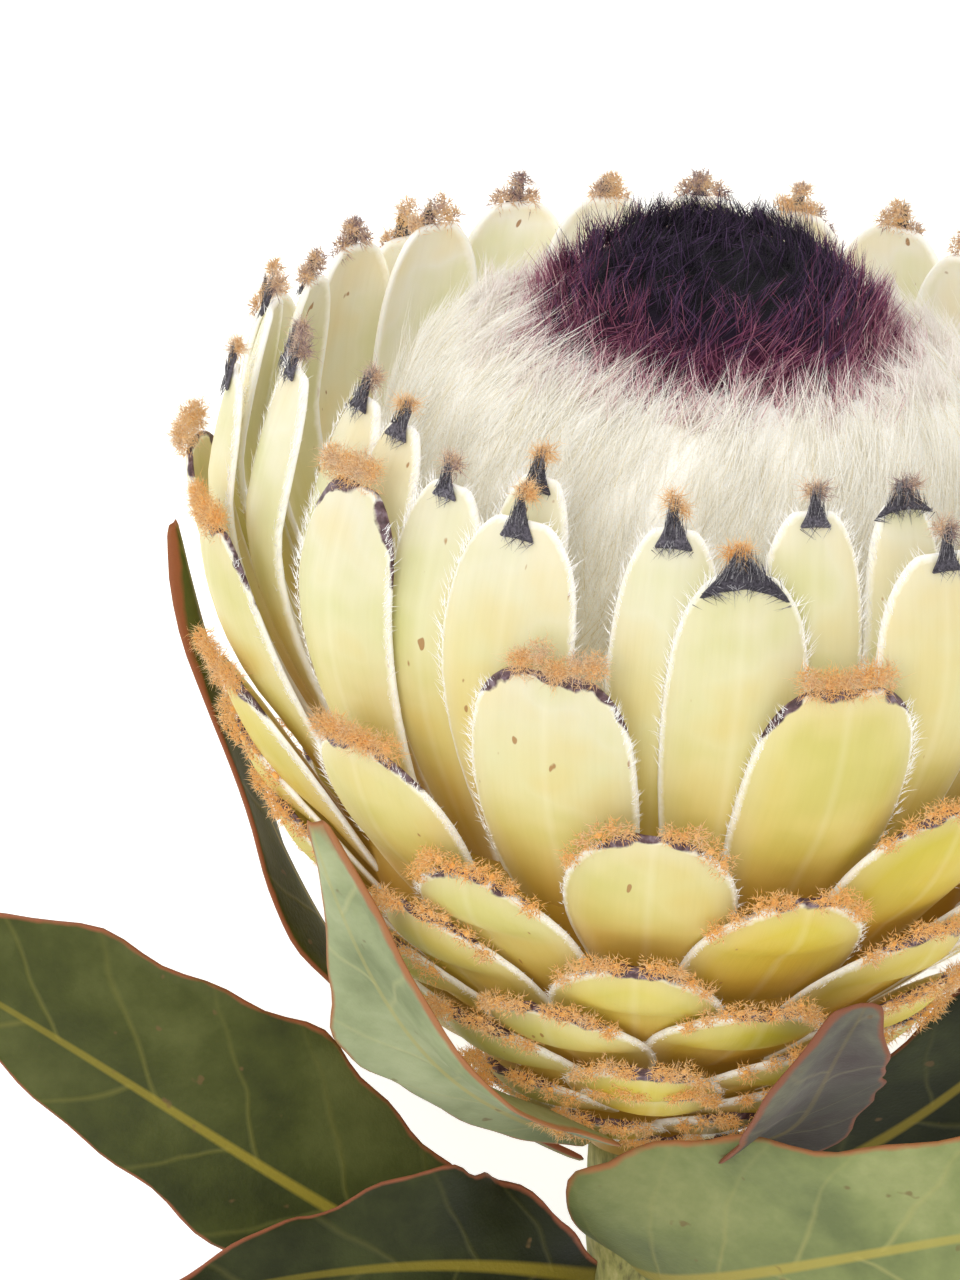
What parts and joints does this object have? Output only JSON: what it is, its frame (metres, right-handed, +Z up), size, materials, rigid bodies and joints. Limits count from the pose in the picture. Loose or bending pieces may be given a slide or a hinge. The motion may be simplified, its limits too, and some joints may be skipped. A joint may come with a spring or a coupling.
{
  "type": "protea flower",
  "caption": "Cut protea bloom lying on its side: overlapping cream bracts round a white woolly dome with a dark crown, on a leafy stem.",
  "frame": {"origin": "middle of the bottom of the bounding box, on the surface that the bloom lies on", "axes": "+Z up, +Y along the lying bloom from the cut end of the stem towards the flower's crown, +X to its right as seen in the picture"},
  "size_m": [0.2212, 0.231, 0.1302],
  "materials": {
    "stem": "green-brown bark, dull",
    "scales": "yellow-green, leathery, with orange wool and dark edges",
    "bracts": "cream, waxy, with white silky edges and woolly tips",
    "white_florets": "dense white wool",
    "dark_florets": "dense dark purple wool",
    "leaf": "grey-green, leathery, with red-brown edges"
  },
  "bodies": {
    "root": {"stem": "stem", "base_scales": "scales", "bracts": "bracts", "floret_dome": "white_florets", "floret_crown": "dark_florets", "leaf_left": "leaf", "leaf_front_left": "leaf", "leaf_right": "leaf", "leaf_hug_left": "leaf", "leaf_tall_left": "leaf", "leaf_small_right": "leaf", "leaf_tall_right": "leaf", "leaf_back_right": "leaf", "leaf_back_left": "leaf"}
  },
  "joints": []
}
